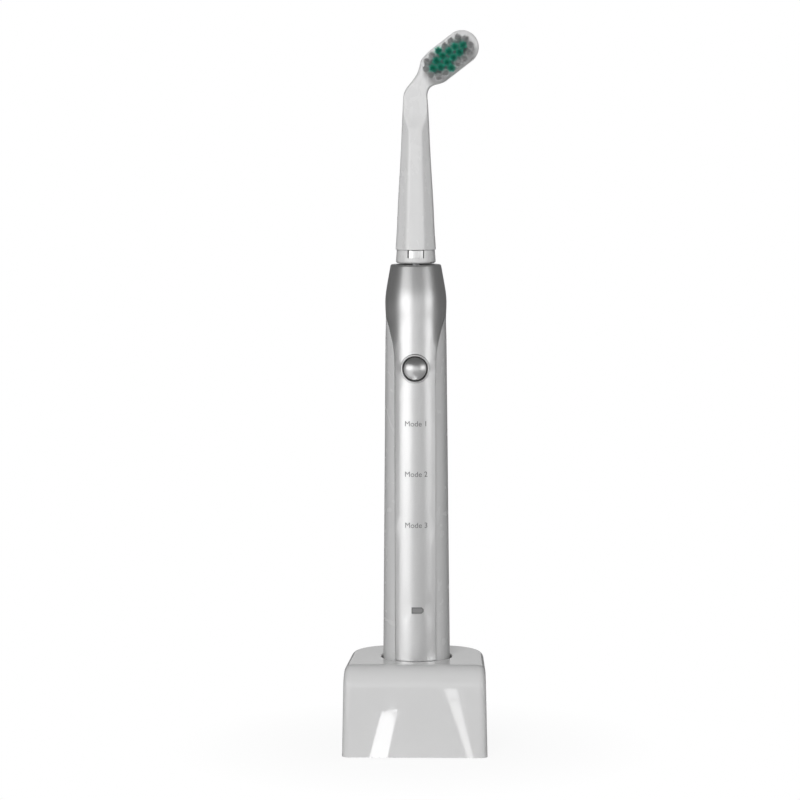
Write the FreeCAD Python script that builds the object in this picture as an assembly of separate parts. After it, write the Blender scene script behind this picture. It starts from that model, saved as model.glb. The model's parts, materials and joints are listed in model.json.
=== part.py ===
import FreeCAD, Part
import math
import os

# Electric toothbrush standing in its inductive charger. Millimetres, +Z up. Z = 0 is the table,
# the handle's axis is X = Y = 0, and the button, the bristles and the labels face -Y.

V = FreeCAD.Vector
os.makedirs("parts", exist_ok=True)

# Charger base
base_width = 52.8           # at the front
base_front = -25.4
base_rear = 24.6
base_top = 33.4
base_skirt = 0.6            # height of the housing's lower edge over the table
base_draft = 0.7            # the sides lean in by this much over the height
base_taper = 1.85           # each side is this much nearer the middle at the rear
base_rear_radius = 15.5
base_crown_radius = 7.5     # the front edge of the top
base_edge_radius = 2.6
base_wall = 2.0
well_radius = 12.9
well_floor = 21.9
well_floor_wall = 1.6
post_radius = 4.0
post_top = 30.0
plate_top = 2.6
board_bottom = 4.6
board_top = 6.2
core_radius = 2.5
core_top = 28.4
boss_radius = 3.0
screw_radius = 1.05
screw_places = [(-20.0, -9.0), (20.0, -9.0), (-19.5, 6.0), (19.5, 6.0)]
foot_radius = 4.0
foot_places = [(-20.0, -18.6), (20.0, -18.6), (-15.3, 15.8), (15.3, 15.8)]
gland_height = 9.0
gland_bore = 1.8
gland_neck = 3.2
gland_flange = 4.4
gland_flange_depth = 0.8

# Handle
foot_z = 24.0
foot_half = 12.32
waist_z = 150.0
waist_half = 11.12
dip_z = 158.2
dip_half = 10.98
crown_z = 164.4
crown_half = 11.14
shoulder_z = 171.2
shoulder_half = 10.24
cowl_top = 177.3
cowl_top_half = 9.12
cowl_skin = 0.9
handle_wall = 2.1
cowl_edge_z = 162.0         # lower edge of the cowl round the back
strip_half = 7.35
strip_shoulder_z = 139.7    # the strip starts to widen here
trim_gap = 0.14             # open joint line round the silver trim
cap_bottom = 22.0
socket_radius = 4.6         # the charging socket in the bottom cap
socket_top = 31.0
cell_radius = 7.0
cell_y = 1.1
cell_bottom = 62.0
cell_top = 112.0
frame_radius = 8.0
frame_bottom = 58.0
frame_top = 142.0
pcb_front = -7.2
pcb_back = -6.2
pcb_half = 5.3
pcb_top = 143.0
label_heights = [120.05, 101.7, 83.1]
gauge_x = 0.8
gauge_z = 52.05

# Power button
button_z = 140.1
button_radius = 4.1
bezel_bore = 4.5
bezel_radius = 5.35
bezel_rise = 0.28           # the ring stands over the trim by this much
bezel_rounding = 0.35
bezel_back = -8.75
dome_radius = 6.5
dome_crown = -12.6
button_back = -9.7

# Motor and drive shaft
motor_radius = 7.6
motor_bottom = 145.8
motor_top = 168.5
shaft_radius = 2.0
bearing_bore = 2.04
shaft_bottom = 145.0
shaft_top = 193.0
key_start = 180.0           # above this the shaft has a flat
key_depth = 0.7
hub_radius = 2.9
magnet_radius = 3.9
pole_radius = 4.4

# Brush
ring_bottom = 177.75
ring_top = 182.75
ring_radius = 7.3
ring_top_radius = 6.9
spigot_radius = 5.85
brush_bore = 4.5
neck_top = 236.0
head_angle = 37.6           # degrees above the horizontal
head_x = 12.5
head_z = 252.35
head_straight = 10.8
head_radius = 6.1
head_half_depth = 2.2
tuft_radius = 0.95
tuft_root = 0.7
anchor_depth = 0.35
green_tip = -11.6
white_tip = -10.9
tuft_ring = 3.95            # distance of the outer ring of tufts from the middle line
tuft_ring_straight = 10.3
tuft_shift = (-0.6, 0.1)    # of all tufts, along and across the head


def cylinder(radius, z0, z1, x=0.0, y=0.0):
    return Part.makeCylinder(radius, z1 - z0, V(x, y, z0))


def crosswise(radius, y0, y1, x, z):
    return Part.makeCylinder(radius, y1 - y0, V(x, y0, z), V(0, 1, 0))


def tube(outer, inner, z0, z1, x=0.0, y=0.0):
    return cylinder(outer, z0, z1, x, y).cut(cylinder(inner, z0, z1, x, y))


def block(x0, x1, y0, y1, z0, z1):
    return Part.makeBox(x1 - x0, y1 - y0, z1 - z0, V(x0, y0, z0))


def join(first, *others):
    return first.fuse(list(others)).removeSplitter()


def save(node, *shapes):
    solids = [solid for shape in shapes for solid in shape.Solids]
    if not all(solid.isValid() for solid in solids):
        print("NOT VALID", node)
    whole = solids[0] if len(solids) == 1 else Part.makeCompound(solids)
    whole.exportStep("parts/" + node + ".step")
    print(f"{node}: {len(solids)} solids, {sum(solid.Volume for solid in solids):.1f} mm3")


# Charger base

# Outline of the base at a height: sides that draw together towards the rear, and round rear corners
def base_outline(z, inset, draft):
    front = base_front + inset
    rear = base_rear - inset
    lean = math.atan(base_taper / (base_rear - base_front))
    radius = base_rear_radius - inset
    half = base_width / 2 - draft - inset * (math.tan(lean) + 1 / math.cos(lean))
    corner = half - (rear - front) * math.tan(lean)
    centre = V(corner - radius * (1 - math.sin(lean)) / math.cos(lean), rear - radius, z)
    middle = (lean + math.pi / 2) / 2
    side = centre + V(radius * math.cos(lean), radius * math.sin(lean), 0)
    bulge = centre + V(radius * math.cos(middle), radius * math.sin(middle), 0)
    back = centre + V(0, radius, 0)
    edges = [
        Part.LineSegment(V(-half, front, z), V(half, front, z)),
        Part.LineSegment(V(half, front, z), side),
        Part.Arc(side, bulge, back),
        Part.LineSegment(back, V(-back.x, back.y, z)),
        Part.Arc(V(-back.x, back.y, z), V(-bulge.x, bulge.y, z), V(-side.x, side.y, z)),
        Part.LineSegment(V(-side.x, side.y, z), V(-half, front, z)),
    ]
    return Part.Wire([edge.toShape() for edge in edges])


# The base's closed form, inset all round, with the large front edge of its top
def base_form(inset, bottom, top):
    share = (top - bottom) / (base_top - base_skirt)
    walls = Part.makeLoft([base_outline(bottom, inset, 0), base_outline(top, inset, base_draft * share)], True, True)
    front = base_front + inset
    radius = base_crown_radius - inset
    bulge = radius * (1 - math.sqrt(0.5))
    edges = [
        Part.Arc(V(-40, front, top - radius), V(-40, front + bulge, top - bulge), V(-40, front + radius, top)),
        Part.LineSegment(V(-40, front + radius, top), V(-40, front + radius, top + 5)),
        Part.LineSegment(V(-40, front + radius, top + 5), V(-40, front - 5, top + 5)),
        Part.LineSegment(V(-40, front - 5, top + 5), V(-40, front - 5, top - radius)),
        Part.LineSegment(V(-40, front - 5, top - radius), V(-40, front, top - radius)),
    ]
    waste = Part.Face(Part.Wire([edge.toShape() for edge in edges])).extrude(V(80, 0, 0))
    return walls.cut(waste).Solids[0]


# The edges to round: the two front corners, the rim of the top, and what joins them
def is_base_rim(edge):
    middle = edge.BoundBox.Center
    on_top = edge.BoundBox.ZMin > base_top - 0.01 and (abs(middle.x) > 1 or middle.y > 0)
    at_corner = abs(middle.x) > base_width / 2 - 1 and middle.y < base_front + base_crown_radius
    return on_top or (at_corner and edge.BoundBox.ZMax > base_skirt + 0.1)


def base_housing():
    outer = base_form(0, base_skirt, base_top)
    outer = outer.makeFillet(base_edge_radius, [edge for edge in outer.Edges if is_base_rim(edge)])
    cavity = base_form(base_wall, base_skirt, base_top - base_wall)
    cup = cylinder(well_radius + 1.6, well_floor - well_floor_wall, base_top - 1)
    bosses = [cylinder(boss_radius, plate_top, base_top - 1, x, y) for x, y in screw_places]
    shell = join(outer.cut(cavity), cup, *bosses)
    shell = shell.cut(cylinder(well_radius, well_floor, base_top + 1))
    mouth = [edge for edge in shell.Edges if abs(edge.BoundBox.ZMin - base_top) < 0.01
             and abs(edge.BoundBox.XLength - 2 * well_radius) < 0.01]
    shell = shell.makeFillet(0.6, mouth)
    shell = join(shell, cylinder(post_radius, well_floor, post_top))
    shell = shell.cut(cylinder(core_radius + 0.4, well_floor - 3, core_top + 0.4))
    pilots = [cylinder(screw_radius + 0.03, plate_top - 1, 12.0, x, y) for x, y in screw_places]
    gland_hole = crosswise(gland_neck, base_rear - 4, base_rear + 2, 0, gland_height)
    return shell.cut(pilots).cut(gland_hole)


def bottom_plate():
    plate = Part.makeLoft([base_outline(base_skirt + 0.1, base_wall + 0.1, 0),
                           base_outline(plate_top, base_wall + 0.1, base_draft * 0.06)], True, True)
    stands = [tube(2.2, 0.8, plate_top, board_bottom, x, y) for x in (-16, 16) for y in (-14, 11)]
    plate = join(plate, *stands)
    pockets = [cylinder(foot_radius + 0.02, 0, 1.6, x, y) for x, y in foot_places]
    bores = [cylinder(screw_radius + 0.15, 0, 4, x, y) for x, y in screw_places]
    sinks = [cylinder(2.6, 0, 1.8, x, y) for x, y in screw_places]
    return plate.cut(pockets + bores + sinks)


def rubber_feet():
    feet = []
    for x, y in foot_places:
        foot = cylinder(foot_radius, 0, 1.6, x, y)
        feet.append(foot.makeFillet(0.5, [edge for edge in foot.Edges if edge.BoundBox.ZMax < 0.1]))
    return feet


# Pan-head self-tapping screws with a cross recess, driven up from below
def base_screws():
    screws = []
    for x, y in screw_places:
        screw = join(cylinder(2.4, 0.8, 1.8, x, y), cylinder(screw_radius, 1.7, 11.0, x, y))
        cross = [block(x - 1.2, x + 1.2, y - 0.2, y + 0.2, 0, 1.4), block(x - 0.2, x + 0.2, y - 1.2, y + 1.2, 0, 1.4)]
        screws.append(screw.cut(cross))
    return screws


def cord_gland():
    wall_inside = base_rear - base_wall
    flange = crosswise(gland_flange, base_rear, base_rear + gland_flange_depth, 0, gland_height)
    neck = crosswise(gland_neck - 0.02, wall_inside, base_rear, 0, gland_height)
    collar = crosswise(gland_flange, wall_inside - 1.4, wall_inside, 0, gland_height)
    bore = crosswise(gland_bore, wall_inside - 3, base_rear + 3, 0, gland_height)
    rounded = flange.makeFillet(0.3, [edge for edge in flange.Edges if edge.BoundBox.YMin > base_rear + 0.5])
    return join(rounded, neck, collar).cut(bore)


def coil_bobbin():
    ceiling = well_floor - well_floor_wall
    hub = cylinder(3.4, board_top, ceiling)
    flanges = [cylinder(9.0, board_top, board_top + 1), cylinder(9.0, ceiling - 1, ceiling)]
    return join(hub, *flanges).cut(cylinder(core_radius + 0.02, 0, 40))


def charger_board():
    board = block(-20, 20, -17, 14, board_bottom, board_top)
    notches = [cylinder(boss_radius + 0.6, 0, 10, x, y) for x, y in screw_places]
    holes = [cylinder(0.8, 0, 10, x, y) for x in (-16, 16) for y in (-14, 11)]
    return board.cut(notches + holes)


def board_capacitors():
    cans = []
    for x in (-10.5, -3.5):
        can = cylinder(3.0, board_top, board_top + 9, x, -13.2)
        cans.append(can.makeFillet(0.4, [edge for edge in can.Edges if edge.BoundBox.ZMin > board_top + 5]))
    return cans


def save_base():
    save("base_housing", base_housing())
    save("base_bottom_plate", bottom_plate())
    save("base_feet", *rubber_feet())
    save("base_screws", *base_screws())
    save("cord_gland", cord_gland())
    save("coil_bobbin", coil_bobbin())
    save("primary_coil", tube(8.6, 3.42, board_top + 1, well_floor - well_floor_wall - 1))
    save("ferrite_core", cylinder(core_radius, board_top, core_top))
    save("charger_board", charger_board())
    save("board_capacitors", *board_capacitors())
    save("oscillator_chip", block(7, 13, -15, -10.5, board_top, board_top + 1.7))
    save("cord_terminal", block(-4.5, 4.5, 9.5, 13.5, board_top, board_top + 4.0))


# Handle

shoulder_line = [(waist_half, waist_z), (dip_half, dip_z), (crown_half, crown_z), (shoulder_half, shoulder_z),
                 (cowl_top_half, cowl_top)]


# Solid of revolution of the handle's outline, inset from the outside
def handle_form(inset, bottom, top):
    slope = (waist_half - foot_half) / (waist_z - foot_z)
    lowest = foot_half + slope * (bottom - foot_z) - inset
    shoulder = Part.BSplineCurve()
    shoulder.interpolate(
        Points=[V(half - inset, 0, z) for half, z in shoulder_line],
        InitialTangent=V(slope, 0, 1), FinalTangent=V(-0.2, 0, 1))
    edges = [
        Part.LineSegment(V(0, 0, bottom), V(lowest, 0, bottom)).toShape(),
        Part.LineSegment(V(lowest, 0, bottom), V(waist_half - inset, 0, waist_z)).toShape(),
        shoulder.toShape(),
        Part.LineSegment(V(cowl_top_half - inset, 0, cowl_top), V(0, 0, cowl_top)).toShape(),
        Part.LineSegment(V(0, 0, cowl_top), V(0, 0, bottom)).toShape(),
    ]
    form = Part.Face(Part.Wire(edges)).revolve(V(0, 0, 0), V(0, 0, 1), 360)
    if top < cowl_top:
        form = form.cut(cylinder(20, top, cowl_top + 5))
    return form


# The space of the silver trim: a strip down the front that widens into a cowl round the top
def trim_space(gap, bottom):
    flare = [V(strip_half + gap, 0, strip_shoulder_z), V(8.0 + gap, 0, 148.8 - gap), V(9.0 + gap, 0, 153.0 - gap),
             V(12.6 + gap, 0, cowl_edge_z - gap)]
    right = Part.BSplineCurve()
    right.interpolate(Points=flare, InitialTangent=V(0, 0, 1), FinalTangent=V(1, 0, 1.2))
    left = Part.BSplineCurve()
    left.interpolate(Points=[V(-p.x, 0, p.z) for p in flare], InitialTangent=V(0, 0, 1), FinalTangent=V(-1, 0, 1.2))
    side = strip_half + gap
    far = flare[-1]
    edges = [
        Part.LineSegment(V(-side, 0, bottom), V(side, 0, bottom)).toShape(),
        Part.LineSegment(V(side, 0, bottom), flare[0]).toShape(),
        right.toShape(),
        Part.LineSegment(far, V(-far.x, 0, far.z)).toShape(),
        left.toShape(),
        Part.LineSegment(V(-side, 0, strip_shoulder_z), V(-side, 0, bottom)).toShape(),
    ]
    front = Part.Face(Part.Wire(edges)).extrude(V(0, -30, 0))
    return join(front, cylinder(20, far.z, cowl_top + 5))


def skin():
    return handle_form(0, foot_z, cowl_top).cut(handle_form(cowl_skin, foot_z, cowl_top - 1.0))


# The gauge window's outline is a small battery lying on its side
def gauge_form(grow, y0, y1):
    half, height, step = 2.2 + grow, 1.15 + grow, 0.75
    corners = [(-half, -height), (half - step, -height), (half, step - height), (half, height - step),
               (half - step, height), (-half, height), (-half, -height)]
    outline = Part.makePolygon([V(gauge_x + x, y0, gauge_z + z) for x, z in corners])
    return Part.Face(outline).extrude(V(0, y1 - y0, 0))


def front_openings():
    return [crosswise(bezel_radius, -20, -8, 0, button_z), gauge_form(0.03, -20, -8)]


def front_cowl():
    cowl = skin().common(trim_space(0, foot_z)).cut(cylinder(6.9, cowl_top - 3, cowl_top + 1))
    rim = [edge for edge in cowl.Edges if edge.BoundBox.ZMin > cowl_top - 0.01]
    return cowl.makeFillet(0.6, rim).cut(front_openings())


def handle_shell():
    recess = skin().common(trim_space(trim_gap, foot_z))
    shell = handle_form(0, foot_z, cowl_top).cut(recess).cut(handle_form(handle_wall, foot_z - 1, 173.4))
    shell = shell.cut(cylinder(20, cowl_top - 1.0, cowl_top + 1))
    shell = shell.cut([cylinder(2.9, 170, 180), cylinder(6.85, 175.0, 180)])
    return shell.cut(front_openings())


def bottom_cap():
    flange = cylinder(foot_half, cap_bottom, foot_z)
    flange = flange.makeFillet(0.8, [edge for edge in flange.Edges if edge.BoundBox.ZMax < cap_bottom + 0.1])
    plug = cylinder(10.05, foot_z, 33.0).cut(cylinder(8.9, foot_z, 33.0))
    groove = tube(11, 9.4, 28.0, 29.6)
    sleeve = cylinder(socket_radius + 1.0, foot_z, socket_top + 1.0)
    cap = join(flange, plug.cut(groove), sleeve)
    return cap.cut(cylinder(socket_radius, cap_bottom - 1, socket_top))


def secondary_bobbin():
    inner = socket_radius + 1.03
    hub = cylinder(inner + 0.7, foot_z + 0.05, socket_top + 1)
    flanges = [cylinder(8.5, z, z + 0.8) for z in (foot_z + 0.05, socket_top + 0.2)]
    return join(hub, *flanges).cut(cylinder(inner, 0, 60))


# Frame that holds the cell, the control board and the foot of the motor
def inner_frame():
    bed = tube(frame_radius, cell_radius + 0.05, frame_bottom, frame_top, 0, cell_y)
    bed = bed.cut(block(-10, 10, -12, -4.4, 0, 200))
    ends = [cylinder(frame_radius, frame_bottom, cell_bottom - 0.6, 0, cell_y),
            cylinder(frame_radius, cell_top + 1.6, cell_top + 3.6, 0, cell_y),
            cylinder(motor_radius, frame_top - 2, frame_top)]
    ends = [end.cut(block(-10, 10, -12, pcb_back + 0.3, 0, 200)) for end in ends]
    rails = [block(x, x + 0.45, -7.0, -4.2, frame_bottom, frame_top) for x in (pcb_half + 0.03, -pcb_half - 0.48)]
    return join(bed, *ends, *rails).cut(cylinder(0.62, frame_top - 3, frame_top + 1))


def battery_cell():
    can = cylinder(cell_radius, cell_bottom, cell_top, 0, cell_y)
    can = can.makeFillet(0.5, [edge for edge in can.Edges if edge.Length > 20])
    return join(can, cylinder(2.6, cell_top, cell_top + 1.0, 0, cell_y))


def battery_tabs():
    lower = join(cylinder(3.5, cell_bottom - 0.6, cell_bottom, 0, cell_y),
                 block(-1.5, 1.5, -5.6, cell_y, cell_bottom - 0.6, cell_bottom))
    upper = join(cylinder(3.0, cell_top + 1.0, cell_top + 1.6, 0, cell_y),
                 block(-1.5, 1.5, -5.6, cell_y, cell_top + 1.0, cell_top + 1.6))
    return [lower, upper]


def mode_lights():
    places = [(0, z) for z in label_heights] + [(gauge_x, gauge_z)]
    return [block(x - 0.8, x + 0.8, pcb_front - 0.9, pcb_front, z - 0.8, z + 0.8) for x, z in places]


def light_guides():
    return [crosswise(1.0, -9.1, pcb_front - 0.9, 0, z) for z in label_heights]


# The window sits a hair under the trim's surface and ends behind the wall
def gauge_window():
    pane = gauge_form(0, -20, -8.4)
    return pane.common(handle_form(0.06, foot_z, cowl_top)).Solids[0]


def button_bezel():
    ring = crosswise(bezel_radius - 0.02, -20, bezel_back, 0, button_z)
    ring = ring.cut(crosswise(bezel_bore, -20, -8, 0, button_z))
    ring = ring.common(handle_form(-bezel_rise, foot_z, cowl_top)).Solids[0]
    rims = [edge for edge in ring.Edges if edge.BoundBox.YMax < bezel_back - 0.5]
    return ring.makeFillet(bezel_rounding, rims)


def button_seal():
    return crosswise(bezel_bore, -9.1, bezel_back, 0, button_z).cut(crosswise(1.4, -12, -8, 0, button_z))


def tact_switch():
    case = block(-2.5, 2.5, -8.6, pcb_front, button_z - 2.5, button_z + 2.5)
    return case.cut(crosswise(1.4, -10, pcb_front - 0.2, 0, button_z))


def motor_case():
    can = cylinder(motor_radius, motor_bottom + 1.2, motor_top)
    can = can.makeFillet(0.6, [edge for edge in can.Edges if edge.BoundBox.ZMin > motor_top - 0.1])
    return can.cut([cylinder(motor_radius - 0.6, 0, motor_top - 1.0), cylinder(3.2, 0, 200)])


def pole_shoes():
    ring = tube(motor_radius - 0.6, pole_radius, 150, 164)
    return [ring.common(block(0, 10, -2.6, 2.6, 140, 170)), ring.common(block(-10, 0, -2.6, 2.6, 140, 170))]


def stator_coils():
    ring = tube(motor_radius - 0.7, pole_radius + 0.3, 148.4, 165.6)
    around = ring.cut(block(-10, 10, -2.65, 2.65, 149.95, 164.05))
    windings = around.common(join(block(3.0, 10, -5.6, 5.6, 140, 170), block(-10, -3.0, -5.6, 5.6, 140, 170)))
    return windings


def motor_dampers():
    sleeves = [tube(motor_radius + 1.2, motor_radius, z, z + 3) for z in (149.0, 161.0)]
    return sleeves + [tube(7.0, 4.0, frame_top + 2, motor_bottom)]


def save_handle():
    save("handle_shell", handle_shell())
    save("front_cowl", front_cowl())
    save("bottom_cap", bottom_cap())
    save("cap_seal", tube(10.14, 9.4, 28.0, 29.6))
    save("secondary_bobbin", secondary_bobbin())
    save("secondary_coil", tube(8.3, socket_radius + 1.73, foot_z + 0.85, socket_top + 0.2))
    save("inner_frame", inner_frame())
    save("battery_cell", battery_cell())
    save("battery_tabs", *battery_tabs())
    save("control_board", block(-pcb_half, pcb_half, pcb_front, pcb_back, 44, pcb_top))
    save("control_chip", block(-2.5, 2.5, pcb_front - 1.0, pcb_front, 66, 71))
    save("mode_lights", *mode_lights())
    save("light_guides", *light_guides())
    save("gauge_window", gauge_window())
    save("button_bezel", button_bezel())
    save("button_seal", button_seal())
    save("tact_switch", tact_switch())
    save("motor_case", motor_case())
    save("motor_end_cap", tube(motor_radius, 3.2, motor_bottom, motor_bottom + 1.2))
    save("upper_bearing", tube(3.2, bearing_bore, motor_top - 2, motor_top))
    save("lower_bearing", tube(3.2, bearing_bore, motor_bottom, motor_bottom + 2))
    save("pole_shoes", *pole_shoes())
    save("stator_coils", stator_coils())
    save("motor_dampers", *motor_dampers())
    save("centring_bar", cylinder(0.6, frame_top - 2, shaft_bottom - 0.02))
    save("shaft_seal", tube(6.83, shaft_radius + 0.15, 175.0, cowl_top - 0.3))


# Power button

def button_cap():
    post = crosswise(button_radius, -20, button_back, 0, button_z)
    dome = Part.makeSphere(dome_radius, V(0, dome_crown + dome_radius, button_z))
    return post.common(dome)


def switch_plunger():
    return crosswise(1.1, button_back, pcb_front - 0.8, 0, button_z)


# Drive

def drive_shaft():
    shaft = cylinder(shaft_radius, shaft_bottom, shaft_top)
    shaft = shaft.makeFillet(0.4, [edge for edge in shaft.Edges if edge.BoundBox.ZMin > shaft_top - 0.1])
    return shaft.cut(block(-3, 3, shaft_radius - key_depth, 4, key_start, shaft_top + 1))


def rotor_magnets():
    ring = tube(magnet_radius, hub_radius, 150.5, 163.5)
    return [ring.common(block(0.9, 10, -10, 10, 140, 170)), ring.common(block(-10, -0.9, -10, 10, 140, 170))]


def save_moving_parts():
    save("button_cap", button_cap())
    save("switch_plunger", switch_plunger())
    save("drive_shaft", drive_shaft())
    save("rotor_hub", tube(hub_radius, shaft_radius, 150, 164))
    save("rotor_magnets", *rotor_magnets())


# Brush

# A point of the head: u runs along the oval towards its tip and v across it
def head_point(u, v, y):
    angle = math.radians(head_angle)
    x = head_x + u * math.cos(angle) - v * math.sin(angle)
    z = head_z + u * math.sin(angle) + v * math.cos(angle)
    return V(x, y, z)


# A point at distance s round the outer ring of tufts, from the middle of its upper side
def ring_point(s):
    turn = math.pi * tuft_ring
    straight = tuft_ring_straight
    s = s % (2 * (straight + turn))
    if s < straight:
        return straight / 2 - s, tuft_ring
    if s < straight + turn:
        angle = (s - straight) / tuft_ring
        return -straight / 2 - tuft_ring * math.sin(angle), tuft_ring * math.cos(angle)
    if s < 2 * straight + turn:
        return s - 1.5 * straight - turn, -tuft_ring
    angle = (s - 2 * straight - turn) / tuft_ring
    return straight / 2 + tuft_ring * math.sin(angle), -tuft_ring * math.cos(angle)


side_u = -1.4
ring_count = 16
ring_step = 2 * (tuft_ring_straight + math.pi * tuft_ring) / ring_count
ring_places = [ring_point(tuft_ring_straight / 2 - side_u + i * ring_step) for i in range(ring_count)]
green_sides = [ring_places[0], ring_places[7]]
white_places = [place for place in ring_places if place not in green_sides]
green_rows = [(u, v) for u in (-4.2, -1.4, 1.4, 4.2) for v in (-1.33, 1.33)]
green_places = green_rows + green_sides + [(-6.75, 0.0), (6.75, 0.0)]


def tuft_point(place, y):
    return head_point(place[0] + tuft_shift[0], place[1] + tuft_shift[1], y)


def tufts(places, tip):
    return [Part.makeCylinder(tuft_radius, tuft_root - tip, tuft_point(place, tip), V(0, 1, 0)) for place in places]


def tuft_holes():
    bottom = tuft_root + anchor_depth + 0.05
    return [Part.makeCylinder(tuft_radius + 0.02, bottom + 5, tuft_point(place, -5), V(0, 1, 0))
            for place in green_places + white_places]


# Flat metal keys at the foot of each tuft
def tuft_anchors():
    keys = []
    for place in green_places + white_places:
        foot = tuft_point(place, tuft_root)
        keys.append(block(foot.x - 0.6, foot.x + 0.6, foot.y, foot.y + anchor_depth, foot.z - 0.15, foot.z + 0.15))
    return keys


def octagon(z, half_width, half_depth):
    points = []
    for i in range(8):
        angle = math.radians(22.5 + 45 * i)
        grow = 1 / math.cos(math.radians(22.5))
        points.append(V(grow * half_width * math.cos(angle), grow * half_depth * math.sin(angle), z))
    return Part.makePolygon(points + [points[0]])


def head_plate():
    ends = [crosswise(head_radius, -head_half_depth, head_half_depth, p.x, p.z)
            for p in (head_point(-head_straight / 2, 0, 0), head_point(head_straight / 2, 0, 0))]
    corners = [head_point(-head_straight / 2, -head_radius, 0), head_point(head_straight / 2, -head_radius, 0),
               head_point(head_straight / 2, head_radius, 0), head_point(-head_straight / 2, head_radius, 0)]
    middle = Part.Face(Part.makePolygon(corners + [corners[0]])).extrude(V(0, 2 * head_half_depth, 0))
    middle.translate(V(0, -head_half_depth, 0))
    bend = [V(-4.35, 0, neck_top - 1), V(-4.1, 0, 239.0), V(-0.95, 0, 244.4), V(1.6, 0, 249.4), V(8.0, 0, 249.4),
            V(8.0, 0, 242.9), V(6.0, 0, 241.9), V(4.5, 0, 240.3), V(4.35, 0, neck_top - 1)]
    knee = Part.Face(Part.makePolygon(bend + [bend[0]])).extrude(V(0, 2 * head_half_depth, 0))
    knee.translate(V(0, -head_half_depth, 0))
    return [middle, knee] + ends


def brush_neck():
    lower = Part.makeLoft([octagon(ring_top, 7.3, 7.3), octagon(226.0, 5.1, 4.95)], True, True)
    upper = Part.makeLoft([octagon(226.0, 5.1, 4.95), octagon(neck_top, 4.5, 3.4)], True, True)
    tip = Part.makeLoft([octagon(neck_top, 4.5, 3.4), octagon(240.0, 4.2, head_half_depth)], True, True)
    spigot = cylinder(spigot_radius, ring_bottom + 0.5, ring_top + 1)
    body = join(lower, upper, tip, spigot, *head_plate())
    return body.cut([cylinder(brush_bore, 170, 195.5)] + tuft_holes())


window_x = 0.2
window_half = 3.0
window_bottom = 179.8


# Slightly conical ring with a notch in its upper edge
def coupling_ring():
    ring = Part.makeCone(ring_radius, ring_top_radius, ring_top - ring_bottom, V(0, 0, ring_bottom))
    ring = ring.makeFillet(0.9, [edge for edge in ring.Edges if edge.BoundBox.ZMax < ring_bottom + 0.1])
    ring = ring.cut(cylinder(spigot_radius + 0.02, 170, 190))
    return ring.cut(block(window_x - window_half, window_x + window_half, -10, -3, window_bottom, ring_top + 1))


# Catch that locks the ring to the spigot and shows in the ring's notch
def ring_catch():
    inner = cylinder(spigot_radius + 0.02, 170, 190)
    outer = cylinder(ring_top_radius - 0.35, window_bottom, ring_top - 0.25).cut(inner)
    tongue = outer.common(block(window_x - window_half + 0.5, window_x + window_half - 0.4, -10, -3, 170, 190))
    return tongue.cut(block(window_x + 0.4, window_x + 1.3, -10, -6.3, 170, 190))


def shaft_socket():
    body = cylinder(brush_bore - 0.02, ring_bottom + 1.0, 195.4)
    bore = cylinder(shaft_radius + 0.04, 170, shaft_top + 0.4)
    flat = block(-3, 3, shaft_radius - key_depth + 0.04, 4, key_start + 1, shaft_top + 1)
    slot = block(-1.3, 1.3, shaft_radius + 0.6, shaft_radius + 1.1, 182, 192)
    return body.cut(bore.cut(flat)).cut(slot)


def save_brush():
    save("brush_neck", brush_neck())
    save("coupling_ring", coupling_ring())
    save("ring_catch", ring_catch())
    save("shaft_socket", shaft_socket())
    save("socket_clip", block(-1.25, 1.25, shaft_radius + 0.65, shaft_radius + 1.05, 182.05, 191.9))
    save("green_tufts", *tufts(green_places, green_tip))
    save("white_tufts", *tufts(white_places, white_tip))
    save("tuft_anchors", *tuft_anchors())


save_base()
save_handle()
save_moving_parts()
save_brush()
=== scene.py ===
import json
import math

import bmesh
import bpy
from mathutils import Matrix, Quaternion, Vector


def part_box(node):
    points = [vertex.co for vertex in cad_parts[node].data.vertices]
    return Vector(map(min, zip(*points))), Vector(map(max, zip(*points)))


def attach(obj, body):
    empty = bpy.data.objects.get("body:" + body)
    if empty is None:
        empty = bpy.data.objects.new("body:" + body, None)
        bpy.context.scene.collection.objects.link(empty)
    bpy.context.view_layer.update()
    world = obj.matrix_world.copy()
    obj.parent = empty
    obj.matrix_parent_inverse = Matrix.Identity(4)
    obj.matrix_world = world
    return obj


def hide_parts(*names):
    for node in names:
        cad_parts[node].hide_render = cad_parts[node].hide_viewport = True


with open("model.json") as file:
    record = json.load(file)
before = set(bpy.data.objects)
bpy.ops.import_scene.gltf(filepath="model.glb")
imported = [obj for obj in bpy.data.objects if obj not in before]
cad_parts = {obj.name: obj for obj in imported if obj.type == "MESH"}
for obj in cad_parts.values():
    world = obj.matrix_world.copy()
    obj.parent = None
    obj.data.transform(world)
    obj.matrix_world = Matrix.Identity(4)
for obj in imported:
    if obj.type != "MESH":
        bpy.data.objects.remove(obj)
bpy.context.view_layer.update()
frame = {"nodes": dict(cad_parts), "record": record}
nodes = frame["nodes"]
mm = 0.001
print("frame loaded:", len(nodes), "nodes")


# Small helpers for node trees, meshes and objects

def addNode(tree, kind, inputs=None, **settings):
    node = tree.nodes.new(kind)
    for name, value in settings.items():
        setattr(node, name, value)
    for name, value in (inputs or {}).items():
        socket = node.inputs[name]
        if isinstance(value, bpy.types.NodeSocket):
            tree.links.new(value, socket)
        else:
            socket.default_value = value
    return node


def mathNode(tree, operation, a, b=0.0, clamp=False):
    return addNode(tree, "ShaderNodeMath", {0: a, 1: b}, operation=operation, use_clamp=clamp).outputs[0]


def mixColor(tree, factor, a, b):
    node = addNode(tree, "ShaderNodeMix", {0: factor, 6: a, 7: b}, data_type="RGBA")
    return node.outputs[2]


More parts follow.
